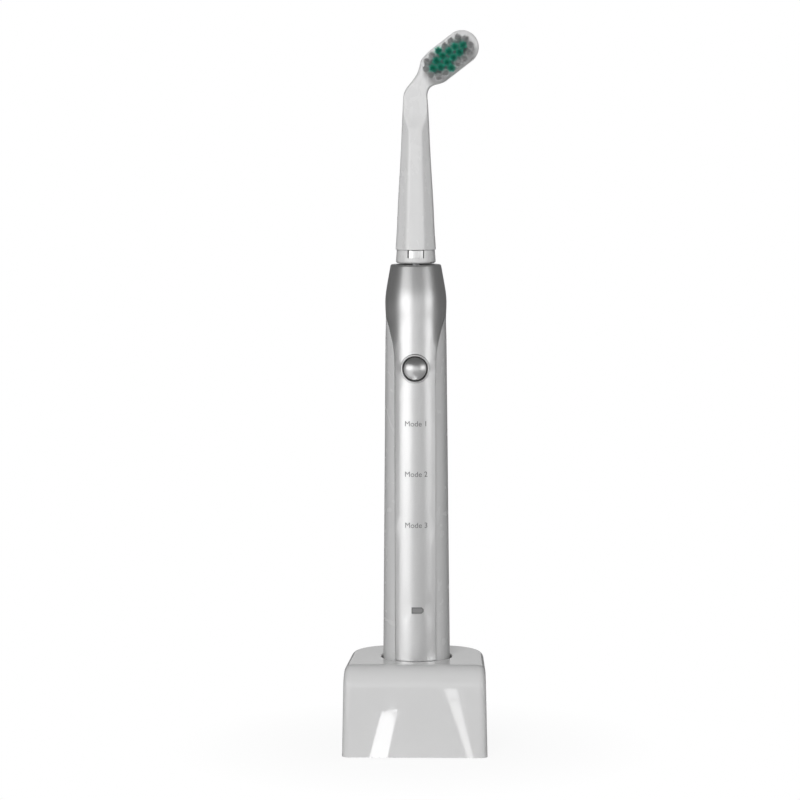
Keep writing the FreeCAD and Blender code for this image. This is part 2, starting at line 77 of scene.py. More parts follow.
def noise(tree, coords, scale, detail=3.0, rough=0.5, stretch=(1, 1, 1)):
    mapped = addNode(tree, "ShaderNodeMapping", {"Vector": coords, "Scale": stretch})
    node = addNode(tree, "ShaderNodeTexNoise", {"Vector": mapped.outputs[0], "Scale": scale, "Detail": detail,
                                                "Roughness": rough})
    return node.outputs["Fac"]


def remap(tree, value, fromLow, fromHigh, toLow, toHigh):
    node = addNode(tree, "ShaderNodeMapRange", {"Value": value, "From Min": fromLow, "From Max": fromHigh,
                                                "To Min": toLow, "To Max": toHigh})
    return node.outputs[0]


def newGroup(name, inputs, outputs):
    group = bpy.data.node_groups.new(name, "ShaderNodeTree")
    for label, kind, value in inputs:
        socket = group.interface.new_socket(label, in_out="INPUT", socket_type=kind)
        socket.default_value = value
    for label, kind in outputs:
        group.interface.new_socket(label, in_out="OUTPUT", socket_type=kind)
    return group, group.nodes.new("NodeGroupInput"), group.nodes.new("NodeGroupOutput")


def asMesh(obj):
    evaluated = obj.evaluated_get(bpy.context.evaluated_depsgraph_get())
    return bpy.data.meshes.new_from_object(evaluated)


def linkObject(name, mesh, finish=None, smooth=True):
    obj = bpy.data.objects.new(name, mesh)
    bpy.context.scene.collection.objects.link(obj)
    if finish:
        mesh.materials.clear()
        mesh.materials.append(finish)
    for face in mesh.polygons:
        face.use_smooth = smooth
    return obj


# Centres of the separate solids in a CAD node, in metres
def solidCentres(name):
    copy = bmesh.new()
    copy.from_mesh(nodes[name].data)
    bmesh.ops.remove_doubles(copy, verts=copy.verts, dist=1e-6)
    waiting, centres = set(copy.verts), []
    while waiting:
        stack, island = [waiting.pop()], []
        while stack:
            vertex = stack.pop()
            island.append(vertex.co.copy())
            for edge in vertex.link_edges:
                other = edge.other_vert(vertex)
                if other in waiting:
                    waiting.remove(other)
                    stack.append(other)
        low = Vector(min(c[i] for c in island) for i in range(3))
        high = Vector(max(c[i] for c in island) for i in range(3))
        centres.append((low + high) / 2)
    copy.free()
    return sorted(centres, key=lambda c: (round(c.z, 5), round(c.x, 5)))


# Effects that several finishes share

def makeMouldedSkin():
    group, given, out = newGroup("mouldedSkin", [
        ("Color", "NodeSocketColor", (0.8, 0.8, 0.8, 1)), ("Tint", "NodeSocketColor", (0.7, 0.7, 0.68, 1)),
        ("Mottle", "NodeSocketFloat", 0.1), ("Roughness", "NodeSocketFloat", 0.2),
        ("Smudge", "NodeSocketFloat", 0.05), ("Peel", "NodeSocketFloat", 0.1)],
        [("Color", "NodeSocketColor"), ("Roughness", "NodeSocketFloat"), ("Height", "NodeSocketFloat")])
    coords = addNode(group, "ShaderNodeTexCoord").outputs["Object"]
    broad = noise(group, coords, 45, 4, 0.6)
    mottle = mathNode(group, "MULTIPLY", remap(group, broad, 0.35, 0.7, 0, 1), given.outputs["Mottle"])
    color = mixColor(group, mottle, given.outputs["Color"], given.outputs["Tint"])
    wipe = noise(group, coords, 120, 5, 0.65, (1, 1, 0.35))
    smear = mathNode(group, "MULTIPLY", remap(group, wipe, 0.42, 0.75, 0, 1), given.outputs["Smudge"])
    rough = mathNode(group, "ADD", given.outputs["Roughness"], smear, True)
    peel = noise(group, coords, 900, 2, 0.5)
    grit = noise(group, coords, 6500, 1, 0.5)
    height = mathNode(group, "ADD", mathNode(group, "MULTIPLY", peel, 0.7),
                      mathNode(group, "MULTIPLY", grit, 0.3))
    group.links.new(color, out.inputs["Color"])
    group.links.new(rough, out.inputs["Roughness"])
    group.links.new(mathNode(group, "MULTIPLY", height, given.outputs["Peel"]), out.inputs["Height"])
    return group


def makeHairScratches():
    group, given, out = newGroup("hairScratches", [
        ("Scale", "NodeSocketFloat", 220.0), ("Amount", "NodeSocketFloat", 0.3)],
        [("Mask", "NodeSocketFloat")])
    coords = addNode(group, "ShaderNodeTexCoord").outputs["Object"]
    total = None
    for turn, stretch in ((0.5, (1, 1, 0.04)), (1.35, (1, 1, 0.05)), (2.4, (0.9, 0.9, 0.03))):
        turned = addNode(group, "ShaderNodeMapping", {
            "Vector": coords, "Rotation": (turn, turn * 0.7, turn * 1.3)})
        squeezed = addNode(group, "ShaderNodeMapping", {"Vector": turned.outputs[0], "Scale": stretch})
        lines = addNode(group, "ShaderNodeTexNoise", {
            "Vector": squeezed.outputs[0], "Scale": given.outputs["Scale"], "Detail": 2.0})
        thin = remap(group, lines.outputs["Fac"], 0.655, 0.69, 0, 1)
        total = thin if total is None else mathNode(group, "ADD", total, thin, True)
    group.links.new(mathNode(group, "MULTIPLY", total, given.outputs["Amount"], True), out.inputs["Mask"])
    return group


def makeMetalFlake():
    group, given, out = newGroup("metalFlake", [
        ("Color", "NodeSocketColor", (0.6, 0.6, 0.6, 1)), ("Flake", "NodeSocketFloat", 0.1),
        ("Size", "NodeSocketFloat", 9000.0)], [("Color", "NodeSocketColor"), ("Height", "NodeSocketFloat")])
    coords = addNode(group, "ShaderNodeTexCoord").outputs["Object"]
    cells = addNode(group, "ShaderNodeTexVoronoi", {"Vector": coords, "Scale": given.outputs["Size"]})
    grey = addNode(group, "ShaderNodeSeparateColor", {"Color": cells.outputs["Color"]}).outputs[0]
    shade = mathNode(group, "MULTIPLY", mathNode(group, "SUBTRACT", grey, 0.5), given.outputs["Flake"])
    value = mathNode(group, "ADD", 1.0, shade)
    evenly = addNode(group, "ShaderNodeCombineXYZ", {"X": value, "Y": value, "Z": value}).outputs[0]
    color = addNode(group, "ShaderNodeVectorMath", {0: given.outputs["Color"], 1: evenly},
                    operation="MULTIPLY")
    group.links.new(color.outputs[0], out.inputs["Color"])
    group.links.new(grey, out.inputs["Height"])
    return group


def makeTurnedGrain():
    group, given, out = newGroup("turnedGrain", [
        ("Scale", "NodeSocketFloat", 60.0), ("Stretch", "NodeSocketFloat", 40.0),
        ("Amount", "NodeSocketFloat", 0.3)], [("Value", "NodeSocketFloat")])
    coords = addNode(group, "ShaderNodeTexCoord").outputs["Object"]
    along = addNode(group, "ShaderNodeCombineXYZ", {"X": 1.0, "Y": 1.0, "Z": given.outputs["Stretch"]})
    mapped = addNode(group, "ShaderNodeMapping", {"Vector": coords, "Scale": along.outputs[0]})
    lines = addNode(group, "ShaderNodeTexNoise", {
        "Vector": mapped.outputs[0], "Scale": given.outputs["Scale"], "Detail": 4.0, "Roughness": 0.7})
    grain = mathNode(group, "MULTIPLY", lines.outputs["Fac"], given.outputs["Amount"])
    group.links.new(grain, out.inputs["Value"])
    return group


mouldedSkin = makeMouldedSkin()
hairScratches = makeHairScratches()
metalFlake = makeMetalFlake()
turnedGrain = makeTurnedGrain()
print("shared effects built")


# Finishes, one for each material slot

def newFinish(name, **plain):
    finish = bpy.data.materials.new(name)
    finish.use_nodes = True
    shader = finish.node_tree.nodes["Principled BSDF"]
    for socket, value in plain.items():
        shader.inputs[socket.replace("_", " ")].default_value = value
    return finish, finish.node_tree, shader


def useGroup(tree, group, **values):
    node = tree.nodes.new("ShaderNodeGroup")
    node.node_tree = group
    for name, value in values.items():
        node.inputs[name].default_value = value
    return node


def bumpInto(tree, shader, height, strength, distance):
    bump = addNode(tree, "ShaderNodeBump", {"Height": height, "Strength": strength, "Distance": distance})
    tree.links.new(bump.outputs[0], shader.inputs["Normal"])


def plasticFinish(name, color, tint, mottle, roughness, smudge, peel, scratches=0.0, **plain):
    finish, tree, shader = newFinish(name, **plain)
    skin = useGroup(tree, mouldedSkin, Color=color, Tint=tint, Mottle=mottle, Roughness=roughness,
                    Smudge=smudge, Peel=peel)
    tree.links.new(skin.outputs["Color"], shader.inputs["Base Color"])
    rough, height = skin.outputs["Roughness"], skin.outputs["Height"]
    if scratches:
        marks = useGroup(tree, hairScratches, Scale=220.0, Amount=scratches)
        rough = mathNode(tree, "ADD", rough, mathNode(tree, "MULTIPLY", marks.outputs["Mask"], 0.25), True)
        height = mathNode(tree, "SUBTRACT", height, mathNode(tree, "MULTIPLY", marks.outputs["Mask"], 0.15))
    tree.links.new(rough, shader.inputs["Roughness"])
    bumpInto(tree, shader, height, 0.35, 0.00002)
    return finish


def metalFinish(name, color, flake, roughness, grain=0.0, stretch=40.0):
    finish, tree, shader = newFinish(name, Metallic=1.0)
    flakes = useGroup(tree, metalFlake, Color=color, Flake=flake)
    lines = useGroup(tree, turnedGrain, Scale=60.0, Stretch=stretch, Amount=1.0)
    haze = useGroup(tree, mouldedSkin, Mottle=0.0, Roughness=roughness, Smudge=0.05, Peel=1.0)
    tree.links.new(flakes.outputs["Color"], shader.inputs["Base Color"])
    streaks = mathNode(tree, "MULTIPLY", mathNode(tree, "SUBTRACT", lines.outputs["Value"], 0.5), grain)
    rough = mathNode(tree, "ADD", haze.outputs["Roughness"], streaks, True)
    tree.links.new(rough, shader.inputs["Roughness"])
    height = mathNode(tree, "ADD", mathNode(tree, "MULTIPLY", flakes.outputs["Height"], flake),
                      mathNode(tree, "MULTIPLY", lines.outputs["Value"], grain))
    bumpInto(tree, shader, height, 0.25, 0.00001)
    return finish


# Color and tint are mixed by the mottle; smudge varies the roughness and peel is the height of the skin
plastics = {
    "base_white": {
        "name": "glossWhiteBase", "color": (0.80, 0.80, 0.80, 1), "tint": (0.75, 0.75, 0.745, 1),
        "mottle": 0.25, "roughness": 0.05, "smudge": 0.05, "peel": 0.12, "scratches": 0.35,
        "Coat_Weight": 0.35, "Coat_Roughness": 0.03, "IOR": 1.5},
    "handle_white": {
        "name": "satinWhiteHandle", "color": (0.77, 0.77, 0.77, 1), "tint": (0.72, 0.72, 0.715, 1),
        "mottle": 0.25, "roughness": 0.22, "smudge": 0.08, "peel": 0.25, "scratches": 0.25,
        "IOR": 1.49},
    "brush_white": {
        "name": "brushWhite", "color": (0.78, 0.78, 0.78, 1), "tint": (0.74, 0.74, 0.735, 1),
        "mottle": 0.2, "roughness": 0.26, "smudge": 0.06, "peel": 0.2, "scratches": 0.1, "IOR": 1.49},
    "smoke_window": {
        "name": "smokedWindow", "color": (0.29, 0.29, 0.29, 1), "tint": (0.25, 0.25, 0.25, 1),
        "mottle": 0.2, "roughness": 0.12, "smudge": 0.05, "peel": 0.1, "scratches": 0.2, "IOR": 1.5},
    "grey_rubber": {
        "name": "greyRubber", "color": (0.11, 0.11, 0.115, 1), "tint": (0.16, 0.16, 0.155, 1),
        "mottle": 0.5, "roughness": 0.6, "smudge": 0.15, "peel": 1.0},
    "inner_plastic": {
        "name": "innerMoulding", "color": (0.5, 0.51, 0.52, 1), "tint": (0.42, 0.42, 0.41, 1),
        "mottle": 0.3, "roughness": 0.42, "smudge": 0.1, "peel": 0.7},
    "ferrite": {
        "name": "sinteredFerrite", "color": (0.035, 0.035, 0.04, 1), "tint": (0.06, 0.06, 0.06, 1),
        "mottle": 0.5, "roughness": 0.55, "smudge": 0.1, "peel": 1.0},
    "circuit_board": {
        "name": "solderMask", "color": (0.012, 0.13, 0.045, 1), "tint": (0.02, 0.09, 0.03, 1),
        "mottle": 0.5, "roughness": 0.3, "smudge": 0.1, "peel": 0.4},
    "chip_black": {
        "name": "mouldedPackage", "color": (0.02, 0.02, 0.022, 1), "tint": (0.04, 0.04, 0.04, 1),
        "mottle": 0.4, "roughness": 0.5, "smudge": 0.1, "peel": 0.8},
    "lamp_white": {
        "name": "lightGuide", "color": (0.82, 0.82, 0.76, 1), "tint": (0.75, 0.75, 0.7, 1),
        "mottle": 0.2, "roughness": 0.15, "smudge": 0.05, "peel": 0.1},
    "cell_wrap": {
        "name": "cellSleeve", "color": (0.03, 0.08, 0.3, 1), "tint": (0.02, 0.05, 0.2, 1),
        "mottle": 0.3, "roughness": 0.25, "smudge": 0.1, "peel": 0.3},
    "green_nylon": {
        "name": "greenNylonPlain", "color": (0.0, 0.1, 0.06, 1), "tint": (0.0, 0.08, 0.05, 1),
        "mottle": 0.3, "roughness": 0.35, "smudge": 0.05, "peel": 0.2},
    "clear_nylon": {
        "name": "clearNylonPlain", "color": (0.7, 0.72, 0.72, 1), "tint": (0.6, 0.62, 0.62, 1),
        "mottle": 0.3, "roughness": 0.3, "smudge": 0.05, "peel": 0.2},
}
# Flake varies the color, and grain draws turned lines that stretch squeezes along Z
metals = {
    "silver_trim": {
        "name": "satinSilverTrim", "color": (0.66, 0.66, 0.66, 1), "flake": 0.06, "roughness": 0.345},
    "polished_silver": {
        "name": "polishedSilver", "color": (0.6, 0.6, 0.6, 1), "flake": 0.03, "roughness": 0.3},
    "bright_catch": {
        "name": "brightCatch", "color": (0.8, 0.8, 0.8, 1), "flake": 0.02, "roughness": 0.35},
    "steel": {
        "name": "turnedSteel", "color": (0.56, 0.56, 0.57, 1), "flake": 0.05, "roughness": 0.24,
        "grain": 0.2, "stretch": 60.0},
    "nickel": {
        "name": "nickelPlate", "color": (0.62, 0.6, 0.56, 1), "flake": 0.04, "roughness": 0.18,
        "grain": 0.08},
    "bearing_brass": {
        "name": "sinteredBrass", "color": (0.62, 0.43, 0.2, 1), "flake": 0.25, "roughness": 0.35,
        "grain": 0.1},
    "copper": {
        "name": "enamelledCopper", "color": (0.66, 0.27, 0.13, 1), "flake": 0.08, "roughness": 0.28,
        "grain": 0.3, "stretch": 90.0},
    "can_aluminium": {
        "name": "drawnCan", "color": (0.66, 0.67, 0.68, 1), "flake": 0.05, "roughness": 0.22,
        "grain": 0.1},
}
finishes = {slot: plasticFinish(**spec) for slot, spec in plastics.items()}
finishes.update({slot: metalFinish(**spec) for slot, spec in metals.items()})

slotOf = {part["node"]: part["material_slot"] for part in frame["record"]["subparts"]}
for name, node in nodes.items():
    for slot in node.material_slots:
        slot.material = finishes[slotOf[name]]
print("finishes on", len(nodes), "nodes")


# Nylon whose tip and side colours differ: the darker tip colour is painted shade, for the gaps between the
# filament ends, and the lighter side colour is painted light, for light scattered through the nylon; both
# colours are given, and the depths between which one turns into the other
def nylonFinish(name, side, tip, tipY, rootY, roughness):
    finish, tree, shader = newFinish(name, IOR=1.53, Specular_IOR_Level=0.25, Subsurface_Weight=0.15,
                                     Subsurface_Radius=(1, 1, 1), Subsurface_Scale=0.2 * mm)
    coords = addNode(tree, "ShaderNodeTexCoord").outputs["Object"]
    y = addNode(tree, "ShaderNodeSeparateXYZ", {"Vector": coords}).outputs["Y"]
    depth = remap(tree, y, tipY, rootY, 0, 1)
    tone = noise(tree, coords, 1400, 2, 0.5, (1, 0.05, 1))
    shaded = mixColor(tree, mathNode(tree, "MULTIPLY", tone, 0.2), side, tip)
    # painted shade toward the tips, painted light along the sides
    tree.links.new(mixColor(tree, depth, tip, shaded), shader.inputs["Base Color"])
    tree.links.new(mathNode(tree, "ADD", roughness, mathNode(tree, "MULTIPLY", tone, 0.12)),
                   shader.inputs["Roughness"])
    return finish


# Brush head and neck

head = {
    "angle": math.radians(37.6),    # rise of the oval's long axis
    "straight": 10.8 * mm,
    "radius": 6.1 * mm,
    "halfDepth": 2.2 * mm,
    "rounding": 6.0,                # exponent of the oval's edge
    "around": 96,
    "blend": 0.5 * mm,              # softness where the flat face cuts the neck
    "firstShare": 0.42,             # how far down its straight part the oval's own sections start
    "steer": 2.0 * mm,              # step to the further section that steers the bend's end
    "uncut": 3.0 * mm,              # a cut so far out that it leaves the oval alone
    "bendSteps": 8,
    "straightSteps": 10,
    "arcSteps": 26,
    "arcEnd": math.radians(89.0),
}
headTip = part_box("brush_neck")[1]
along = Vector((math.cos(head["angle"]), 0, math.sin(head["angle"])))
across = Vector((-math.sin(head["angle"]), 0, math.cos(head["angle"])))
tipCentre = Vector((headTip.x - head["radius"], 0, headTip.z - head["radius"]))
headCentre = tipCentre - along * head["straight"] / 2

# Sections of the neck, in mm: half-width and half-depth, how sharp its eight flats are, how far the four
# slanting flats reach (1 in an octagon), and where the flat front and back of the head cut it
neckStations = [
    {"z": 182.78, "half": 6.95, "deep": 6.95, "sharp": 26, "slant": 1, "front": 9, "back": 9},
    {"z": 182.95, "half": 7.15, "deep": 7.15, "sharp": 26, "slant": 1, "front": 9, "back": 9},
    {"z": 183.4, "half": 7.24, "deep": 7.24, "sharp": 26, "slant": 1, "front": 9, "back": 9},
    {"z": 190.0, "half": 6.82, "deep": 6.82, "sharp": 26, "slant": 1, "front": 9, "back": 9},
    {"z": 200.0, "half": 6.37, "deep": 6.34, "sharp": 26, "slant": 1, "front": 8, "back": 8},
    {"z": 211.0, "half": 5.72, "deep": 5.6, "sharp": 26, "slant": 1, "front": 7, "back": 7},
    {"z": 221.0, "half": 5.18, "deep": 5.05, "sharp": 24, "slant": 1, "front": 6.1, "back": 5.9},
    {"z": 226.0, "half": 4.98, "deep": 4.8, "sharp": 22, "slant": 0.99, "front": 4.75, "back": 5.0},
    {"z": 229.0, "half": 4.84, "deep": 4.6, "sharp": 18, "slant": 0.95, "front": 3.65, "back": 4.3},
    {"z": 232.0, "half": 4.69, "deep": 4.3, "sharp": 13, "slant": 0.89, "front": 2.8, "back": 3.65},
    {"z": 235.0, "half": 4.53, "deep": 3.8, "sharp": 10, "slant": 0.82, "front": 2.45, "back": 3.1},
]
# Left and right edge of the bend, as (x, z), where the neck turns into the oval
bendStations = [
    {"left": (-4.3, 238.4), "right": (4.3, 238.0), "deep": 3.3, "sharp": 6, "front": 2.35, "back": 2.7},
    {"left": (-3.5, 240.6), "right": (4.5, 239.6), "deep": 3.0, "sharp": 5, "front": 2.3, "back": 2.5},
    {"left": (-1.95, 242.6), "right": (5.2, 241.0), "deep": 2.8, "sharp": 5, "front": 2.3, "back": 2.4},
    {"left": (-0.5, 244.5), "right": (6.6, 241.95), "deep": 2.6, "sharp": 5, "front": 2.3, "back": 2.4},
    {"left": (0.75, 246.6), "right": (8.6, 242.5), "deep": 2.4, "sharp": 5.5, "front": 2.6, "back": 2.6},
    {"left": (1.5, 248.9), "right": (10.5, 243.15), "deep": 2.25, "sharp": 6, "front": 3, "back": 3},
    {"left": (2.3, 251.4), "right": (11.6, 243.95), "deep": 2.2, "sharp": 6, "front": 3, "back": 3},
]


def spline(before, start, end, after, t):
    values = []
    for p0, p1, p2, p3 in zip(before, start, end, after):
        third, second, first = 3 * p1 - p0 - 3 * p2 + p3, 2 * p0 - 5 * p1 + 4 * p2 - p3, p2 - p0
        cubic = third * t ** 3 + second * t ** 2 + first * t
        values.append(p1 + cubic / 2)
    return values


# Distance to the edge of a form with flats, seen from its middle
def edgeReach(c, s, sharp, slant):
    turned = slant * math.sqrt(0.5)
    flats = (c, s, turned * (c + s), turned * (c - s))
    total = sum(abs(flat) ** sharp for flat in flats)
    facing = 1 + 2 * turned ** sharp
    return (facing / total) ** (1 / sharp)


def softCut(depth, limit):
    share = max(0.0, min(1.0, 0.5 + (limit - depth) / (2 * head["blend"])))
    return limit + (depth - limit) * share - head["blend"] * share * (1 - share)


def sectionRing(values):
    left, right = Vector((values[0], 0, values[1])), Vector((values[2], 0, values[3]))
    middle, reach = (left + right) / 2, (right - left) / 2
    deep, sharp, slant, front, back = values[4:]
    ring = []
    for i in range(head["around"]):
        angle = 2 * math.pi * i / head["around"]
        c, s = math.cos(angle), math.sin(angle)
        grow = edgeReach(c, s, sharp, slant)
        depth = softCut(deep * abs(s) * grow, front if s > 0 else back)
        ring.append(middle + reach * c * grow + Vector((0, -math.copysign(max(depth, 0), s), 0)))
    return ring


# Section of the oval at distance u along it; past the straight part it narrows to the round tip
def headRing(u):
    ring, radius, power = [], head["radius"], head["rounding"]
    past = max(0.0, u - head["straight"] / 2)
    width = math.sqrt(max(radius ** 2 - past ** 2, 0))
    for i in range(head["around"]):
        angle = 2 * math.pi * i / head["around"]
        c, s = math.cos(angle), math.sin(angle)
        v = max(-width, min(width, width * c * edgeReach(c, s, power, 0)))
        spread = min(math.hypot(v, past) / radius, 1.0)
        y = head["halfDepth"] * (1 - spread ** power) ** (1 / power)
        ring.append(headCentre + along * u - across * v + Vector((0, -math.copysign(y, s), 0)))
    return ring


def bridgeRings(name, rings, finish):
    mesh = bpy.data.meshes.new(name)
    build = bmesh.new()
    rows = [[build.verts.new(point) for point in ring] for ring in rings]
    count = len(rows[0])
    for low, high in zip(rows, rows[1:]):
        for i in range(count):
            build.faces.new((low[i], low[(i + 1) % count], high[(i + 1) % count], high[i]))
    build.faces.new(list(reversed(rows[0])))
    build.faces.new(rows[-1])
    bmesh.ops.remove_doubles(build, verts=build.verts, dist=2e-6)
    bmesh.ops.recalc_face_normals(build, faces=build.faces)
    build.to_mesh(mesh)
    build.free()
    return linkObject(name, mesh, finish)


def stationValues(left, right, station):
    lengths = [left[0], left[1], right[0], right[1], station["deep"]]
    shape = [station["sharp"], station.get("slant", 0.7)]
    return [v * mm for v in lengths] + shape + [station["front"] * mm, station["back"] * mm]


def makeBrushNeck():
    stations = [stationValues((-s["half"], s["z"]), (s["half"], s["z"]), s) for s in neckStations]
    stations += [stationValues(s["left"], s["right"], s) for s in bendStations]
    firstU, lastU = -head["straight"] * head["firstShare"], head["straight"] / 2
    for u in (firstU, firstU + head["steer"]):    # the oval's own first sections steer the bend's end
        left = headCentre + along * u + across * head["radius"]
        right = headCentre + along * u - across * head["radius"]
        stations.append([left.x, left.z, right.x, right.z, head["halfDepth"], head["rounding"], 0.6,
                         head["uncut"], head["uncut"]])
    rings = [sectionRing(stations[0])]
    for i in range(len(stations) - 2):
        before = stations[max(i - 1, 0)]
        for k in range(1, head["bendSteps"] + 1):
            values = spline(before, stations[i], stations[i + 1], stations[i + 2], k / head["bendSteps"])
            rings.append(sectionRing(values))
    for k in range(1, head["straightSteps"] + 1):
        rings.append(headRing(firstU + (lastU - firstU) * k / head["straightSteps"]))
    for k in range(1, head["arcSteps"] + 1):
        turn = head["arcEnd"] * k / head["arcSteps"]
        rings.append(headRing(lastU + head["radius"] * math.sin(turn)))
    return bridgeRings("brushNeck", rings, finishes["brush_white"])


brushNeck = makeBrushNeck()
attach(brushNeck, "brush_head")
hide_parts("brush_neck")
print("brush neck:", len(brushNeck.data.polygons), "faces")


# Bristles

def pointsObject(name, points):
    mesh = bpy.data.meshes.new(name)
    mesh.from_pydata([tuple(p) for p in points], [], [])
    return linkObject(name, mesh)


def treeInput(tree, label, kind, value):
    socket = tree.interface.new_socket(label, in_out="INPUT", socket_type=kind)
    if value is not None:
        socket.default_value = value


def makeTuftTree():
    tree = bpy.data.node_groups.new("bristleTufts", "GeometryNodeTree")
    treeInput(tree, "Geometry", "NodeSocketGeometry", None)
    sizes = (("Tuft radius", 0.0009), ("Filament radius", 0.00008), ("Spacing", 0.0002), ("Length", 0.01),
             ("Splay", 30.0), ("Stray", 0.012), ("Uneven", 0.05), ("Dome", 0.1))
    for label, size in sizes:
        treeInput(tree, label, "NodeSocketFloat", size)
    treeInput(tree, "Seed", "NodeSocketInt", 1)
    treeInput(tree, "Finish", "NodeSocketMaterial", None)
    tree.interface.new_socket("Geometry", in_out="OUTPUT", socket_type="NodeSocketGeometry")
    given, out = tree.nodes.new("NodeGroupInput"), tree.nodes.new("NodeGroupOutput")
    value = given.outputs

    # one filament: a line of six points, the last but one raised toward the tip, which is rounded off
    end = addNode(tree, "ShaderNodeCombineXYZ", {"Z": value["Length"]}).outputs[0]
    line = addNode(tree, "GeometryNodeCurvePrimitiveLine", {"End": end})
    dots = addNode(tree, "GeometryNodeResampleCurve", {"Curve": line.outputs[0], "Count": 6})
    index = addNode(tree, "GeometryNodeInputIndex").outputs[0]
    nearTip = remap(tree, index, 4.0, 5.0, 1.0, 0.45)
    pastThird = mathNode(tree, "GREATER_THAN", index, 3.5)
    isFourth = mathNode(tree, "MULTIPLY", pastThird, mathNode(tree, "LESS_THAN", index, 4.5))
    lift = mathNode(tree, "MULTIPLY", isFourth, mathNode(tree, "MULTIPLY", value["Length"], 0.185))
    raised = addNode(tree, "GeometryNodeSetPosition", {"Geometry": dots.outputs[0], "Offset": addNode(
        tree, "ShaderNodeCombineXYZ", {"Z": lift}).outputs[0]})
    rim = addNode(tree, "GeometryNodeCurvePrimitiveCircle", {
        "Resolution": 6, "Radius": value["Filament radius"]})
    filament = addNode(tree, "GeometryNodeCurveToMesh", {
        "Curve": raised.outputs[0], "Profile Curve": rim.outputs[0], "Scale": nearTip, "Fill Caps": True})

    # one tuft: filaments on a shaken grid, cut to a circle, leaning outward and shorter toward its rim
    gridPoints = 13
    gridSize = mathNode(tree, "MULTIPLY", value["Spacing"], gridPoints - 1.0)
    grid = addNode(tree, "GeometryNodeMeshGrid", {
        "Size X": gridSize, "Size Y": gridSize, "Vertices X": gridPoints, "Vertices Y": gridPoints})
    shake = addNode(tree, "FunctionNodeRandomValue", {"Seed": value["Seed"]}, data_type="FLOAT_VECTOR")
    shake.inputs["Min"].default_value = (-0.22, -0.22, 0)
    shake.inputs["Max"].default_value = (0.22, 0.22, 0)
    offset = addNode(tree, "ShaderNodeVectorMath", {0: shake.outputs["Value"], "Scale": value["Spacing"]},
                     operation="SCALE")
    loose = addNode(tree, "GeometryNodeSetPosition", {
        "Geometry": grid.outputs[0], "Offset": offset.outputs[0]})
    place = addNode(tree, "GeometryNodeInputPosition").outputs[0]
    outward = addNode(tree, "ShaderNodeVectorMath", {0: place}, operation="LENGTH").outputs["Value"]
    outside = mathNode(tree, "GREATER_THAN", outward, value["Tuft radius"])
    packed = addNode(tree, "GeometryNodeDeleteGeometry", {"Geometry": loose.outputs[0], "Selection": outside})
    rimShare = mathNode(tree, "POWER", mathNode(tree, "DIVIDE", outward, value["Tuft radius"]), 2.0)
    flare = mathNode(tree, "MULTIPLY", value["Splay"], mathNode(tree, "ADD", 0.35, mathNode(
        tree, "MULTIPLY", rimShare, 0.65)))
    lean = addNode(tree, "ShaderNodeVectorMath", {0: place, "Scale": flare}, operation="SCALE")
    drift = addNode(tree, "FunctionNodeRandomValue", {"Seed": mathNode(tree, "ADD", value["Seed"], 7.0)},
                    data_type="FLOAT_VECTOR")
    drift.inputs["Min"].default_value = (-1, -1, 0)
    drift.inputs["Max"].default_value = (1, 1, 0)
    stray = addNode(tree, "ShaderNodeVectorMath", {0: drift.outputs["Value"], "Scale": value["Stray"]},
                    operation="SCALE")
    toward = addNode(tree, "ShaderNodeVectorMath", {0: lean.outputs[0], 1: stray.outputs[0]}, operation="ADD")
    upright = addNode(tree, "ShaderNodeVectorMath", {0: toward.outputs[0], 1: (0, 0, 1)}, operation="ADD")
    aim = addNode(tree, "FunctionNodeAlignRotationToVector", {"Vector": upright.outputs[0]}, axis="Z")
    short = addNode(tree, "FunctionNodeRandomValue", {
        "Seed": mathNode(tree, "ADD", value["Seed"], 13.0)}, data_type="FLOAT")
    drop = mathNode(tree, "ADD", mathNode(tree, "MULTIPLY", short.outputs[1], value["Uneven"]),
                    mathNode(tree, "MULTIPLY", rimShare, value["Dome"]))
    tall = mathNode(tree, "SUBTRACT", 1.0, drop)
    size = addNode(tree, "ShaderNodeCombineXYZ", {"X": 1.0, "Y": 1.0, "Z": tall})
    bundle = addNode(tree, "GeometryNodeInstanceOnPoints", {
        "Points": packed.outputs[0], "Instance": filament.outputs[0], "Rotation": aim.outputs[0],
        "Scale": size.outputs[0]})
    tuft = addNode(tree, "GeometryNodeRealizeInstances", {0: bundle.outputs[0]})

    # one tuft at each root, turned at random about its own length
    spin = addNode(tree, "FunctionNodeRandomValue", {"Seed": mathNode(tree, "ADD", value["Seed"], 29.0)},
                   data_type="FLOAT")
    turn = mathNode(tree, "MULTIPLY", spin.outputs[1], 6.28)
    facing = addNode(tree, "ShaderNodeCombineXYZ", {"X": math.pi / 2, "Y": 0.0, "Z": 0.0})
    tufts = addNode(tree, "GeometryNodeInstanceOnPoints", {
        "Points": value["Geometry"], "Instance": tuft.outputs[0], "Rotation": facing.outputs[0]})
    turned = addNode(tree, "GeometryNodeRotateInstances", {"Instances": tufts.outputs[0], "Rotation": addNode(
        tree, "ShaderNodeCombineXYZ", {"Z": turn}).outputs[0]})
    real = addNode(tree, "GeometryNodeRealizeInstances", {0: turned.outputs[0]})
    dyed = addNode(tree, "GeometryNodeSetMaterial", {
        "Geometry": real.outputs[0], "Material": value["Finish"]})
    tree.links.new(dyed.outputs[0], out.inputs["Geometry"])
    return tree


tuftTree = makeTuftTree()


def applyTree(name, source, tree, values, body, node):
    modifier = source.modifiers.new("rule", "NODES")
    modifier.node_group = tree
    for item in tree.interface.items_tree:
        if item.item_type == "SOCKET" and item.in_out == "INPUT" and item.name in values:
            modifier[item.identifier] = values[item.name]
    mesh = asMesh(source)
    source.modifiers.remove(modifier)
    bpy.data.objects.remove(source)
    piece = linkObject(name, mesh)
    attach(piece, body)
    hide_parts(node)
    return piece
